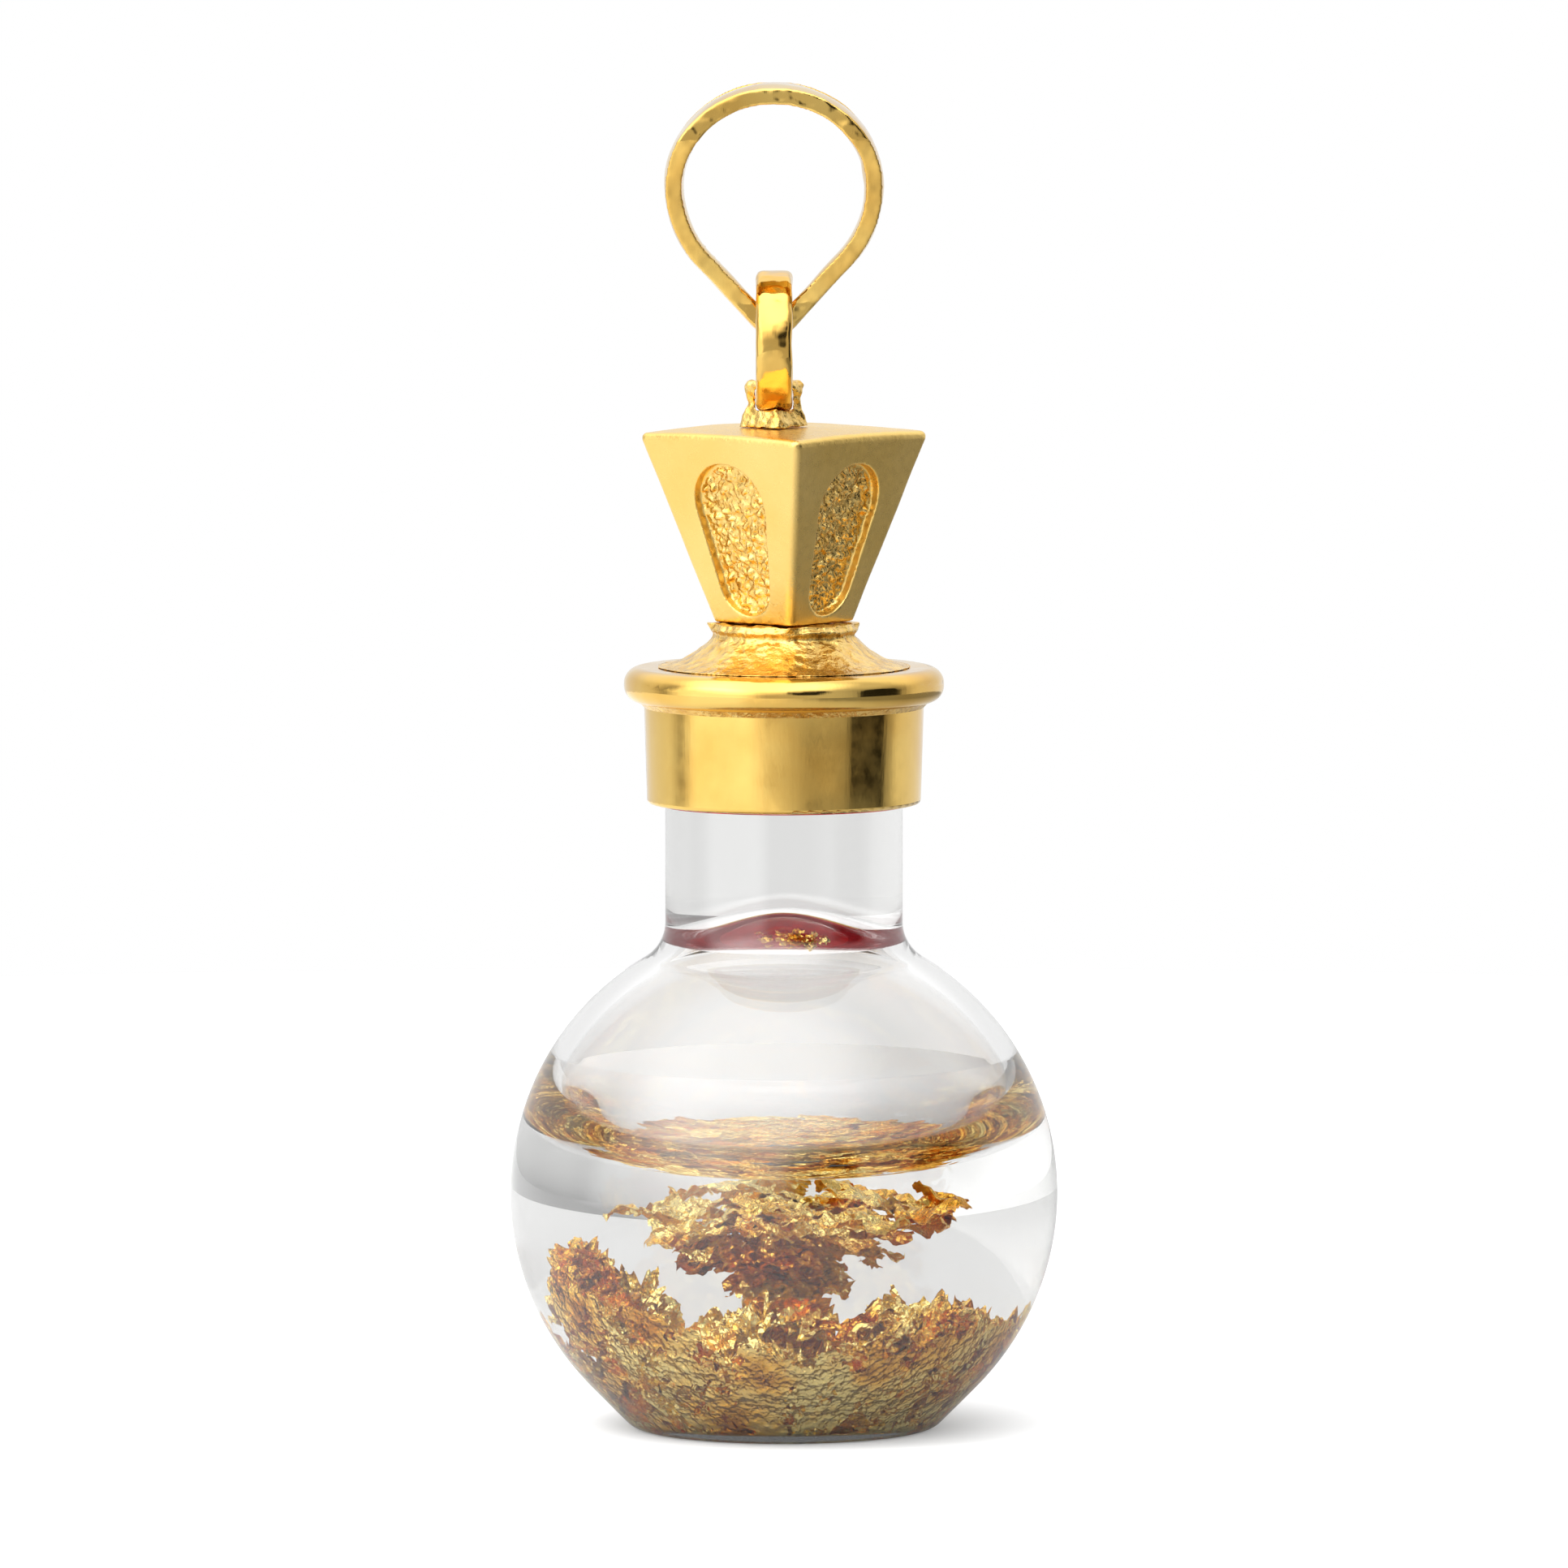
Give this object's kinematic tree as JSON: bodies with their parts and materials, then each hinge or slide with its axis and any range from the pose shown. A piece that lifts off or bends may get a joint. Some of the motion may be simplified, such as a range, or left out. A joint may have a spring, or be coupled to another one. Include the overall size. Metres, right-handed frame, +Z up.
{
  "type": "gold leaf bottle pendant",
  "caption": "Stoppered round glass flask of liquid and floating gold leaf, with a gold cap, a square tapered finial, a soldered ring and a swinging teardrop bail.",
  "frame": {"origin": "centre of the flask's flat foot, on the surface that it stands on", "axes": "+Z up along the flask's axis; -Y towards the front, from which the bail shows as a teardrop; +X right"},
  "size_m": [0.014, 0.014, 0.0344],
  "materials": {
    "glass": "clear blown glass, fire polished",
    "liquid": "clear colourless liquid",
    "gold_leaf": "crumpled thin gold leaf, bright and wrinkled",
    "red_rubber": "moulded deep red rubber, satin",
    "red_sealant": "glossy red sealing compound",
    "polished_gold": "polished yellow gold",
    "satin_gold": "satin yellow gold with stippled sunk panels",
    "cast_gold": "rough as-cast yellow gold with solder",
    "bail_gold": "polished yellow gold strip with rough cut edges"
  },
  "bodies": {
    "vial": {"flask": "glass", "liquid_pool": "liquid", "liquid_neck": "liquid", "leaf_bed": "gold_leaf", "leaf_banks": "gold_leaf", "leaf_tip": "gold_leaf", "stopper": "red_rubber", "sealant": "red_sealant", "collar": "polished_gold", "collar_seam": "cast_gold", "flange": "polished_gold", "pedestal": "cast_gold", "finial": "satin_gold", "loop_boss": "cast_gold", "loop_ring": "polished_gold"},
    "drifting_leaf": {"leaf_cloud": "gold_leaf"},
    "bail": {"bail": "bail_gold"}
  },
  "joints": [
    {"name": "bail_swing", "type": "hinge", "parent": "vial", "child": "bail", "pos_m": [-0.00025, 0, 0.02782], "axis": [1, 0, 0], "range_deg": [-118, 118]},
    {"name": "leaf_swirl", "type": "hinge", "parent": "vial", "child": "drifting_leaf", "pos_m": [0, 0, 0.005], "axis": [0, 0, 1], "continuous": true}
  ]
}
